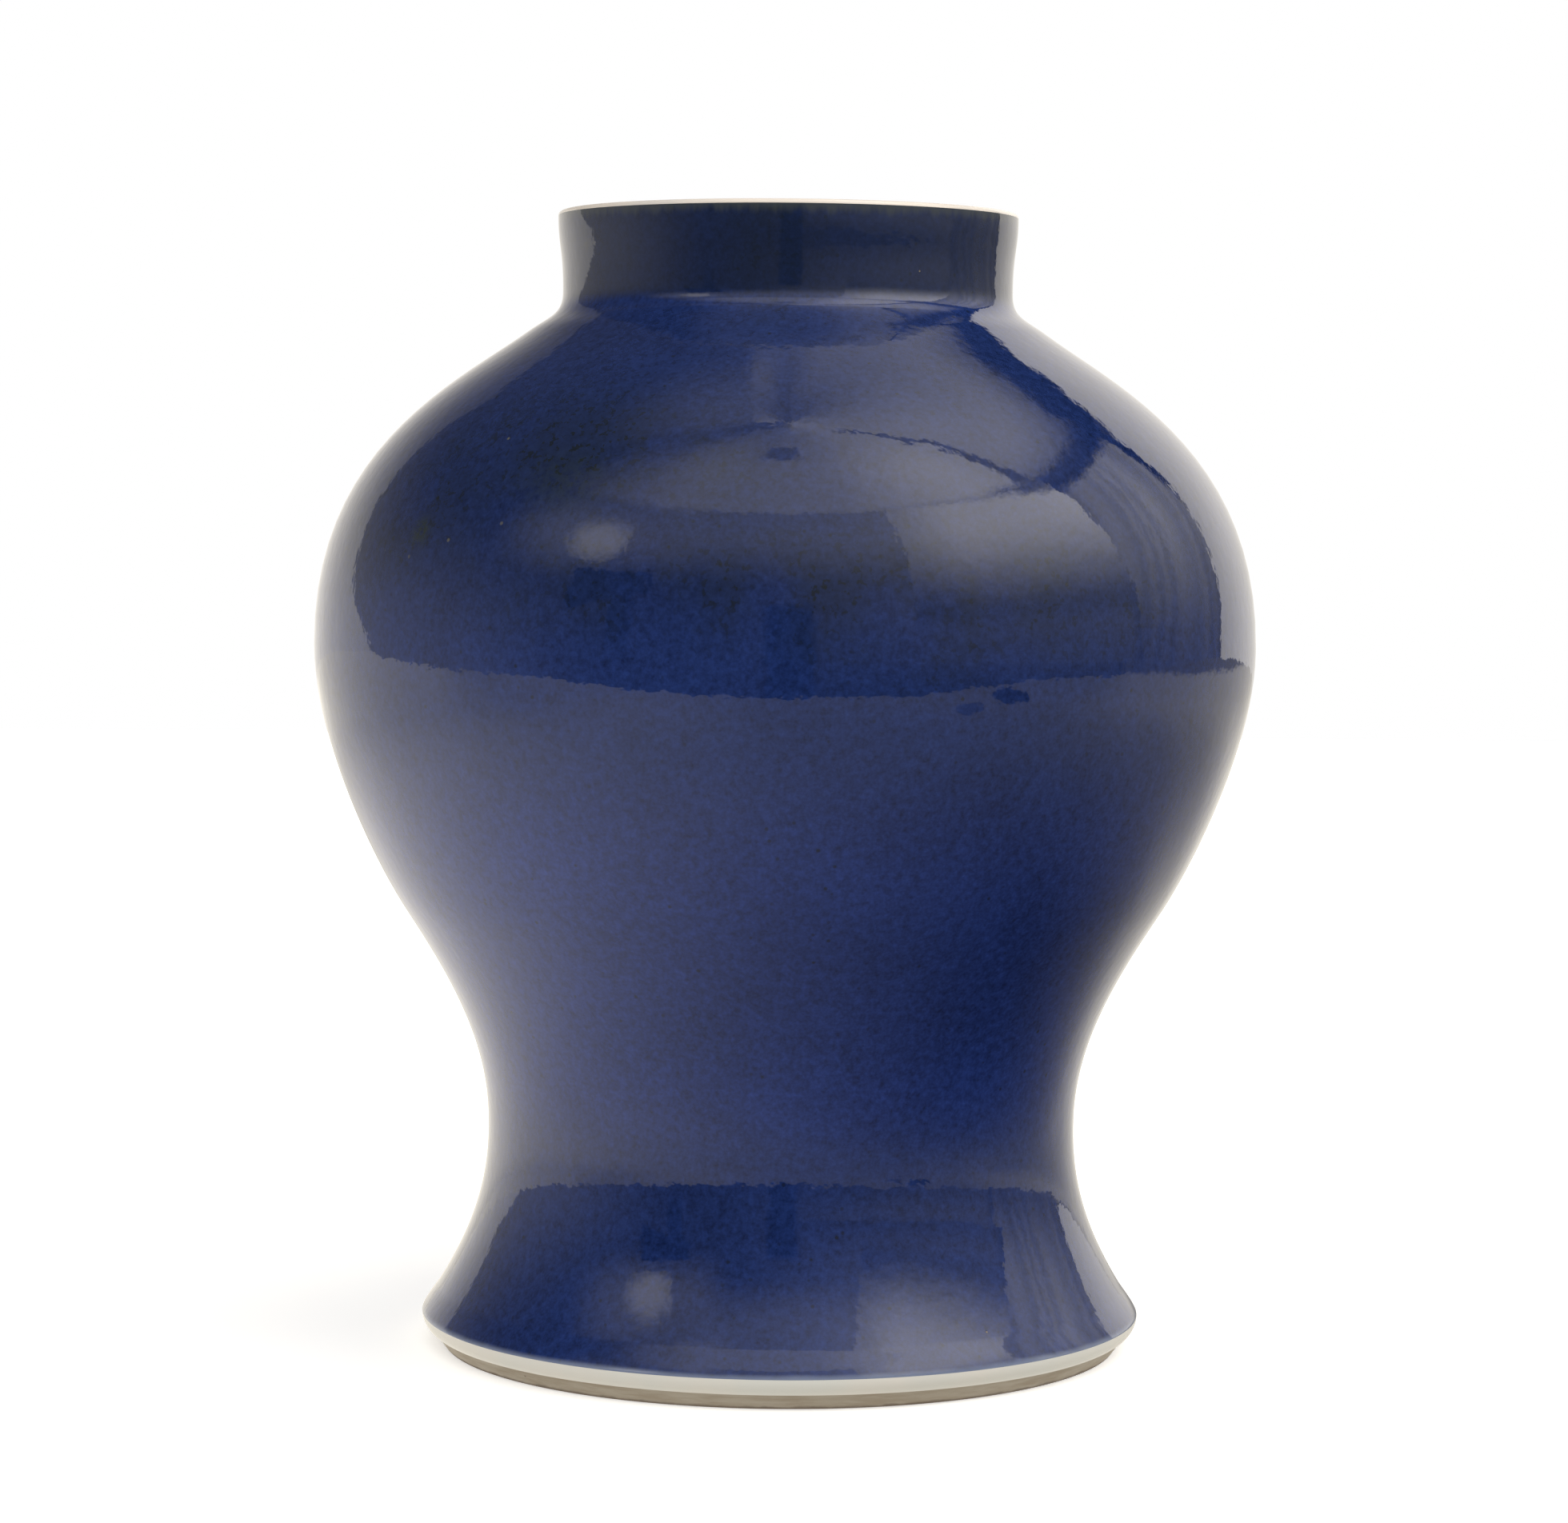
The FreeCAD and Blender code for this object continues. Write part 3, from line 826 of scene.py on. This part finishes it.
@dataclass
class Turnery:
    """Turns outlines into closed, smooth pieces.

    Its crease is in degrees and its least lengths are in metres.
    """

    sides: int = 240
    crease: float = 35.0
    on_axis: float = 1e-7
    shortest: float = 1e-9
    weld: float = 2e-7

    def turn(self, name: str, outline: Sequence[Point]) -> Object:
        """Spin a closed outline a full circle about Z.

        Args:
            name: The piece's name.
            outline: Its points, in millimetres, as radius and height.

        Returns:
            The piece.
        """
        mesh = bmesh.new()
        verts = [mesh.verts.new((r * MM, 0.0, z * MM)) for r, z in outline]
        ends = zip(verts, verts[1:] + verts[:1])
        pairs = [(a, b) for a, b in ends if max(a.co.x, b.co.x) > self.on_axis]
        pairs = [(a, b) for a, b in pairs if (a.co - b.co).length > self.shortest]
        edges = [mesh.edges.new(pair) for pair in pairs]
        bmesh.ops.spin(
            mesh,
            geom=[*verts, *edges],
            axis=(0, 0, 1),
            angle=math.tau,
            steps=self.sides,
            use_merge=True,
        )
        bmesh.ops.remove_doubles(mesh, verts=mesh.verts, dist=self.weld)
        bmesh.ops.recalc_face_normals(mesh, faces=mesh.faces)
        for face in mesh.faces:
            face.smooth = True
        made = placed(mesh, name)
        made.data.set_sharp_from_angle(angle=math.radians(self.crease))
        return made


@dataclass
class Coats:
    """The glazes: blue outside, clear over the lip, inside, foot band and base."""

    profile: Profile
    turnery: Turnery
    blue: Finish = BlueGlaze()
    lip: Finish = ClearGlaze(
        name="lip_clear_glaze", colour=painted(220, 212, 204), pooled=painted(210, 206, 202)
    )
    lining: Finish = ClearGlaze(name="inside_clear_glaze", turning=0.05)
    band: Finish = ClearGlaze(name="band_clear_glaze", spots=Dots(40, 0.5, 0.8, 0.03))
    base: Finish = ClearGlaze(
        name="base_clear_glaze", turning=0.015, spots=Dots(18, 0.5, 0.8, 0.03)
    )

    def build(self) -> list[Object]:
        """Build and dress every coat."""
        coats = (
            ("blue_glaze_coat", Slot.BLUE, self.blue, self.blue_outline()),
            ("lip_glaze_coat", Slot.LIP, self.lip, self.lip_outline()),
            ("inside_glaze_lining", Slot.INSIDE, self.lining, self.lining_outline()),
            ("foot_band_coat", Slot.BAND, self.band, self.band_outline()),
            ("base_glaze_coat", Slot.BASE, self.base, self.base_outline()),
        )
        return [
            settle(self.turnery.turn(name, outline), slot.value, slot, finish)
            for name, slot, finish, outline in coats
        ]

    def blue_outline(self) -> list[Point]:
        """The blue coat, down its outside and back up against the clay."""
        form = self.profile
        return [*form.outside(Layer.SKIN), *reversed(form.outside(Layer.CLAY))]

    def lip_outline(self) -> list[Point]:
        """The clear coat over the lip."""
        form = self.profile
        inner = form.rim.radius - form.depth(form.rim, Layer.LINING)
        outer_centre = (form.rim.radius - form.lip_round, form.rim.height)
        inner_centre = (inner + form.lip_round, form.rim.height)
        thin = form.lip_round - form.glaze
        return [
            *form.arc(outer_centre, form.lip_round, 0, 90),
            *form.arc(inner_centre, form.lip_round, 90, 180),
            *form.arc(inner_centre, thin, 180, 90),
            *form.arc(outer_centre, thin, 90, 0),
        ]

    def lining_outline(self) -> list[Point]:
        """The clear lining, down its face and back up against the clay."""
        form = self.profile
        return [*form.inside(Layer.LINING), *reversed(form.inside(Layer.CAVITY))]

    def band_outline(self) -> list[Point]:
        """The clear band round the foot's edge."""
        form = self.profile
        return [*form.foot_edge(0.0), *reversed(form.foot_edge(form.glaze))]

    def base_outline(self) -> list[Point]:
        """The clear glaze of the recess."""
        form = self.profile
        line = form.base_glaze_line
        return [*form.recess(form.glaze, line), *reversed(form.recess(0.0, line))]


@dataclass
class Foot:
    """The turned foot, whose bare ring shows under the glazes."""

    profile: Profile
    turnery: Turnery
    finish: Finish = Biscuit()

    def build(self) -> list[Object]:
        """Build and dress the foot."""
        made = self.turnery.turn("foot_ring_body", self.outline())
        return [settle(made, "foot_section", Slot.CLAY, self.finish)]

    def outline(self) -> list[Point]:
        """The foot, down its outside, under the ring, over the recess and up the well."""
        form = self.profile
        standing = form.edge.radius - form.standing_inset
        well = form.run("well", Layer.CAVITY)
        floor = form.floor_corner(0.0)[::-1]
        return [
            *form.run("flare", Layer.CLAY),
            *form.run("edge", Layer.CLAY),
            *form.foot_edge(form.glaze),
            (standing, 0.0),
            (form.recess_radius + form.ring_bevel, 0.0),
            *reversed(form.recess(0.0, form.ring_bevel)),
            (0.0, floor[0][1]),
            *floor,
            *reversed(well),
            (well[0][0], form.waist.height - form.seam_half),
        ]


def settle(piece: Object, node: str, slot: Slot, finish: Finish) -> Object:
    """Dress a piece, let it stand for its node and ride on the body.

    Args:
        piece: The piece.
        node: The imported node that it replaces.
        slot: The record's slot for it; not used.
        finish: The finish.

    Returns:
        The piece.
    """
    piece.data.materials.append(finish.material())
    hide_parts(node)
    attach(piece, BODY)
    return piece


@dataclass
class ClayWork:
    """The clay sections and slip seams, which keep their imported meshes."""

    nodes: dict[str, Object]
    clay: Finish = Clay()
    slip: Finish = Clay(
        name="luting_slip", colour=painted(220, 214, 204), roughness=Ramp(0.3, 0.7, 0.78, 0.9)
    )

    def dress(self) -> list[Object]:
        """Give each shown node its clay or slip."""
        dressed = []
        for name, node in self.nodes.items():
            if node.hide_render:
                continue
            finish = self.slip if name.endswith("_slip_seam") else self.clay
            node.data.materials.clear()
            node.data.materials.append(finish.material())
            dressed.append(node)
        return dressed


@dataclass
class Table:
    """The pale table: white to the camera but for the vase's shadow.

    Its top has one face only, so that the vase's base shows from under it. Lengths are
    in metres.
    """

    front_half_width: float = 1.3
    back_half_width: float = 5.0
    front: float = -0.79
    back: float = 3.0
    sink: float = 0.0002
    colour: Colour = (0.86, 0.86, 0.85)
    tint: Colour = (1.0, 0.94, 0.82)
    glow: Oval = Oval((0, 0), (1, 1), Ramp(0.2, 0.6, 0.5, 1))
    left_light: Ramp = Ramp(-0.8, -0.27, 1.39, 0.89)
    left_pool: Oval = Oval((-0.35, -0.06), (0.42, 1.26), Ramp(1, 0, 0, 0.78))
    front_shade: Ramp = Ramp(0.02, -0.4, 1, 0.64)
    right_shade: Ramp = Ramp(1.7, 2.2, 1, 0.35)
    back_light_sides: Ramp = Ramp(0.65, 0, about=0.39)
    back_light_start: Ramp = Ramp(0.06, 0.24, 0, 0.27)
    # Painted shadows of the vase in the table's glow, which the glaze mirrors.
    wide_shadow: Oval = Oval((0.384, 0.256), (0.44, 0.96), Ramp(0, 1, 0.49), (0.93, 0.37))
    near_shadow: Oval = Oval((0.153, -0.06), (0.36, 0.34), Ramp(0, 1, 0.05))
    large_thing: Oval = Oval((0.93, 0), (0.2, 0.085), Ramp(1, 0.8, 0, 0.9), (0.78, 0.62))
    small_thing: Oval = Oval((0.7, -0.12), (0.09, 0.04), Ramp(1, 0.7, 0, 0.63), (0.78, 0.62))
    # A painted pool of light round the foot, which lights the foot band and bare ring.
    bright_ring: Oval = Oval((0, 0), (0.15, 0.15), Ramp(1, 0.84, 0, 0.8))

    def build(self) -> Object:
        """Lay the table's top."""
        near, far = self.front_half_width, self.back_half_width
        mesh = bmesh.new()
        corners = ((-near, self.front), (near, self.front), (far, self.back), (-far, self.back))
        mesh.faces.new([mesh.verts.new((x, y, -self.sink)) for x, y in corners])
        made = placed(mesh, "table_top")
        made.data.materials.append(self.material())
        return made

    def material(self) -> bpy.types.Material:
        """White for the camera with the shadow kept, and its own light for the glaze."""
        made = bpy.data.materials.new("table_white")
        bench = Bench(made)
        x, y, _ = bench.axes(bench.place())
        matt = bench.node("BsdfDiffuse", {"Color": shade(self.colour)})
        white = bench.light((1.0, 1.0, 1.0), bench.oval(x, y, self.glow))
        seen = bench.node("AddShader", {0: matt.outputs[0], 1: white})
        lit = bench.light(self.tint, self.level(bench, x, y))
        top = bench.for_camera(lit, seen.outputs[0])
        under = bench.node("NewGeometry").outputs["Backfacing"]
        clear = bench.node("BsdfTransparent").outputs[0]
        surface = bench.blend(under, top, clear)
        bench.node("OutputMaterial", {"Surface": surface})
        return made

    def level(self, bench: Bench, x: Signal, y: Signal) -> Signal:
        """The table's painted glow: brighter at the left, with a painted shadow of the vase at the
        right and a painted pool of light round the foot.
        """
        level = bench.ramp(x, self.left_light) + bench.oval(x, y, self.left_pool)
        level = level * bench.ramp(y, self.front_shade) * bench.ramp(x, self.right_shade)
        back = bench.ramp(x, self.back_light_sides) * bench.ramp(y, self.back_light_start)
        level = (level + back) * bench.oval(x, y, self.wide_shadow)
        level = level * bench.oval(x, y, self.near_shadow)
        things = bench.oval(x, y, self.large_thing).either(bench.oval(x, y, self.small_thing))
        return (level * (1 - things)).either(bench.oval(x, y, self.bright_ring))


@dataclass
class Room:
    """The studio round the table, as the world's light, with its angles in degrees.

    Its dark things are the lamp's hood and stand, a gap in the papers, the camera's
    place and something hung high up.
    """

    dark: float = 0.07
    warm: Colour = (1.0, 0.95, 0.87)
    walls: tuple[Zone, ...] = (
        Zone((Ramp(-38, -98),), (Ramp(36, -6, 0, 0.52),)),
        Zone((Ramp(-25, 70),), (Ramp(-16, 30, 0, 0.9),)),
        Zone((Ramp(-60, -100, 0, 0.5),), (Ramp(58, 84),)),
    )
    ceiling_steps: tuple[Ramp, ...] = (Ramp(18, 38, 0, 0.52), Ramp(46.5, 52, 0, 0.48))
    ceiling_sides: tuple[Zone, ...] = (
        Zone((Ramp(-90, -28, 0, 1.3),)),
        Zone((Ramp(14, 60, 0, 1.3), Ramp(92, 66, 0.4, 1)), (Ramp(84, 58),)),
    )
    ceiling_crown: Ramp = Ramp(90, 64, 0.5, 1)
    lamp_glow: Oval = Oval((-60, 34), (30, 17), Ramp(1, 0.1, 0, 0.45))
    far_ceiling_start: Ramp = Ramp(84, 92)
    far_ceiling_high: Zone = Zone((Ramp(84, 92),), (Ramp(60, 72),))
    far_ceiling_line: Ramp = Ramp(-0.1, -0.05)
    far_ceiling_level: Zone = Zone(
        (Ramp(92, 172, 2.2, 0.74),), (Ramp(90, 66, 0.6, 1), Ramp(38, 57))
    )
    beam: Zone = Zone((Ramp(4.5, 1, 0, 0.75, about=88),), (Ramp(46, 50), Ramp(86, 78)))
    beam_bend: Point = (68.0, 0.9)
    panel: Zone = Zone(
        (Ramp(28.8, 29.8), Ramp(88.5, 87.5)), (Ramp(50.5, 47.5, slant=0.05), Ramp(4, 14))
    )
    panel_level: Zone = Zone((Ramp(26, 50, 0.54, 1),), (Ramp(8.5, 39, 0.3, 3.9),))
    bow_middle: float = 98.0
    bow_depth: float = 0.004
    screen: Zone = Zone((Ramp(87.5, 88.5), Ramp(136, 134)), (Ramp(44, 41),))
    screen_level: Zone = Zone((Ramp(118, 134, 1, 0.6),), (Ramp(-4, 29, 0.28, 1.38),))
    fold_run: Point = (0.8, -0.3)
    fold_drift: Point = (0.31, 2.0)
    fold_depth: float = 0.13
    rail: Zone = Zone((Ramp(68, 80), Ramp(140, 136)), (Ramp(4.0, 1.2, 0, 0.7, about=44.8),))
    right_paper: Zone = Zone((Ramp(129.8, 131, slant=-0.25),), (Ramp(36.5, 35),))
    right_paper_level: Zone = Zone((Ramp(140, 176, 1.62, 1.15),), (Ramp(-4, 14, 0.82, 1),))
    left_paper: Zone = Zone((Ramp(-126.5, -127.8, slant=0.66),))
    left_paper_foot: Zone = Zone((Ramp(-119, -120.5, slant=2.2),))
    left_paper_lowest: float = -2.0
    left_paper_top: Ramp = Ramp(34.5, 33)
    left_paper_level: Zone = Zone((Ramp(-150, -178, 1, 0.85),), (Ramp(-4, 34, 1.31, 0.18),))
    lamp: Oval = Oval((-51, 34), (11, 8), Ramp(1.2, 0.3))
    lamp_edges: Zone = Zone((Ramp(-42, -44),), (Ramp(26.5, 27.5),))
    lamp_level: float = 2.1
    back: Ramp = Ramp(168, 180, about=0)
    back_level: Ramp = Ramp(-4, 40, 1.15, 0.4)
    dark_things: tuple[Zone, ...] = (
        Zone((Ramp(10.5, 9.5, about=-44),), (Ramp(24.5, 23.5), Ramp(29, 31, slant=-0.35))),
        Zone((Ramp(3.5, 2.0, about=-40),), (Ramp(20, 18), Ramp(-3, 8))),
        Zone((Ramp(136, 139), Ramp(160, 156)), (Ramp(47, 43), Ramp(5, 6.5, slant=-0.2))),
        Zone((Ramp(-6, -3), Ramp(8, 5)), (Ramp(15, 11),)),
        Zone((Ramp(16, 6, 0, 0.6, about=-4),), (Ramp(3.5, 1.5, about=76),)),
    )
    thing_darkness: float = 0.95

    def build(self) -> None:
        """Make the world: white for the camera, the room for everything else."""
        world = bpy.data.worlds.new("studio_room")
        bpy.context.scene.world = world
        bench = Bench(world)
        x, y, z = bench.axes(bench.node("TexCoord").outputs["Generated"])
        way = Way(bench, bench.bearing(x, y) * DEGREES, bench.math("ARCSINE", z) * DEGREES)
        room = bench.light(self.warm, self.level(way), "Background")
        white = bench.light((1.0, 1.0, 1.0), 1.0, "Background")
        bench.node("OutputWorld", {"Surface": bench.for_camera(room, white)})

    def level(self, way: Way) -> Signal:
        """The room's brightness in a direction."""
        ramp, rise = way.bench.ramp, way.rise
        total = self.cover(self.near_room(way), *self.far_ceiling(way))
        start, bend = self.beam_bend
        bent = replace(way, bearing=way.bearing + (rise - start).either(0.0) * bend)
        total = total * (1 - bent.zone(self.beam))
        total = self.cover(total, way.zone(self.panel), way.zone(self.panel_level))
        bow = way.bearing - self.bow_middle
        bowed = replace(way, rise=bow * abs(bow) * self.bow_depth + rise)
        folded = way.zone(self.screen_level) * (1 + self.folds(way))
        total = self.cover(total, bowed.zone(self.screen), folded)
        total = total * (1 - bowed.zone(self.rail))
        total = self.cover(total, way.zone(self.right_paper), way.zone(self.right_paper_level))
        cut = replace(way, rise=rise.either(self.left_paper_lowest))
        paper = way.zone(self.left_paper).either(cut.zone(self.left_paper_foot))
        paper = paper * ramp(rise, self.left_paper_top)
        total = self.cover(total, paper, way.zone(self.left_paper_level))
        lamp = way.oval(self.lamp) * way.zone(self.lamp_edges)
        total = self.cover(total, lamp, self.lamp_level)
        total = self.cover(total, ramp(way.bearing, self.back), ramp(rise, self.back_level))
        things = functools.reduce(Signal.either, map(way.zone, self.dark_things))
        return total * (1 - things * self.thing_darkness)

    def cover(self, under: Signal, mask: Signal, level: Number) -> Signal:
        """Lay a part of the room over what is behind it."""
        return under * (1 - mask) + mask * level

    def near_room(self, way: Way) -> Signal:
        """The walls in front and at the left, and the ceiling over them."""
        ceiling = sum(way.bench.ramp(way.rise, step) for step in self.ceiling_steps)
        ceiling = ceiling * sum(map(way.zone, self.ceiling_sides))
        ceiling = ceiling * way.bench.ramp(way.rise, self.ceiling_crown)
        return sum(map(way.zone, self.walls)) + ceiling + way.oval(self.lamp_glow) + self.dark

    def far_ceiling(self, way: Way) -> tuple[Signal, Signal]:
        """The ceiling at the far right over the screen, and its brightness."""
        sine = way.bench.math("SINE", way.bearing / DEGREES)
        aside = sine / way.bench.math("TANGENT", way.rise / DEGREES)
        turned = replace(way, bearing=abs(way.bearing))
        behind = turned.zone(self.far_ceiling_high) * way.bench.ramp(aside, self.far_ceiling_line)
        mask = way.bench.ramp(way.bearing, self.far_ceiling_start).either(behind)
        return mask, turned.zone(self.far_ceiling_level)

    def folds(self, way: Way) -> Signal:
        """The soft folds of the screen."""
        run = way.bearing * self.fold_run[0] + way.rise * self.fold_run[1]
        drift = way.bench.math("SINE", run * self.fold_drift[0]) * self.fold_drift[1]
        return way.bench.math("SINE", run + drift) * self.fold_depth


@dataclass
class NearWall:
    """The near side of the room, set at its real distance, so that it shifts with height.

    The camera doesn't see it. Bearings are in degrees and lengths in metres, and its
    eye is the height that the room's rises are measured from.
    """

    room: Room
    radius: float = 0.9
    first: float = -35.0
    last: float = 88.0
    fade: float = 20.0
    low: float = 0.18
    high: float = 1.15
    eye: float = 0.2
    steps: int = 40

    def build(self) -> Object:
        """Stand the wall round the front of the table."""
        mesh = bmesh.new()
        turn = Matrix.Rotation(math.radians(self.first), 3, "Z")
        ends = [mesh.verts.new(turn @ Vector((0, -self.radius, z))) for z in (self.low, self.high)]
        edge = mesh.edges.new(ends)
        bmesh.ops.spin(
            mesh,
            geom=[*ends, edge],
            axis=(0, 0, 1),
            angle=math.radians(self.last - self.first),
            steps=self.steps,
        )
        made = placed(mesh, "near_wall")
        made.visible_camera = False
        made.data.materials.append(self.material())
        return made

    def material(self) -> bpy.types.Material:
        """The room's light, read where the wall stands."""
        made = bpy.data.materials.new("near_wall_light")
        bench = Bench(made)
        x, y, z = bench.axes(bench.place())
        rise = bench.math("ARCTAN2", z - self.eye, bench.length(x, y)) * DEGREES
        way = Way(bench, bench.bearing(x, y) * DEGREES, rise)
        lit = bench.light(self.room.warm, self.room.level(way))
        clear = bench.node("BsdfTransparent").outputs[0]
        there = bench.ramp(way.bearing, Ramp(self.first, self.first + self.fade))
        surface = bench.blend(there, clear, lit)
        bench.node("OutputMaterial", {"Surface": surface})
        return made


@dataclass
class Lamps:
    """One large soft key lamp in front, which the glaze does not mirror."""

    watts: float = 3.2
    across: float = 0.7
    place: Place = (-0.2, -0.78, 0.6)
    target: Place = (0.0, 0.0, 0.12)

    def build(self) -> Object:
        """Hang the lamp."""
        data = bpy.data.lights.new("key_softbox", "AREA")
        data.shape = "DISK"
        data.size = self.across
        data.energy = self.watts
        made = bpy.data.objects.new("key_softbox", data)
        made.location = self.place
        aim = Vector(self.target) - made.location
        made.rotation_mode = "QUATERNION"
        made.rotation_quaternion = aim.to_track_quat("-Z", "Y")
        made.visible_glossy = False
        made.visible_camera = False
        bpy.context.scene.collection.objects.link(made)
        return made


@dataclass
class Eye:
    """The camera, where the photograph was taken from.

    Angles are in degrees and lengths in metres, but the lens's and sensor's in millimetres.
    """

    distance: float = 1.20034
    height: float = 0.24182
    pitch: float = 3.647
    roll: float = 0.48
    lens: float = 97.16
    sensor: float = 36.0
    clip: Point = (0.05, 50.0)

    def build(self) -> Object:
        """Place the camera and make it the scene's."""
        data = bpy.data.cameras.new("photograph_view")
        data.lens = self.lens
        data.sensor_width = self.sensor
        data.clip_start, data.clip_end = self.clip
        made = bpy.data.objects.new("photograph_view", data)
        turn = Matrix.Rotation(math.radians(90 - self.pitch), 4, "X")
        roll = Matrix.Rotation(math.radians(self.roll), 4, "Z")
        made.matrix_world = Matrix.Translation((0, -self.distance, self.height)) @ turn @ roll
        bpy.context.scene.collection.objects.link(made)
        bpy.context.scene.camera = made
        return made


def main() -> None:
    """Build the scene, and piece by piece."""
    logging.basicConfig(level=logging.INFO, format="%(name)s: %(message)s")
    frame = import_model()
    Eye().build()
    profile = Profile()
    turnery = Turnery()
    for piece in [*Coats(profile, turnery).build(), *Foot(profile, turnery).build()]:
        log.info("%s: %d faces", piece.name, len(piece.data.polygons))
    for piece in ClayWork(frame["nodes"]).dress():
        log.info("%s: packed mesh dressed", piece.name)
    Table().build()
    room = Room()
    room.build()
    NearWall(room).build()
    Lamps().build()
    bpy.context.scene.view_settings.view_transform = "Standard"


if __name__ == "__main__":
    main()
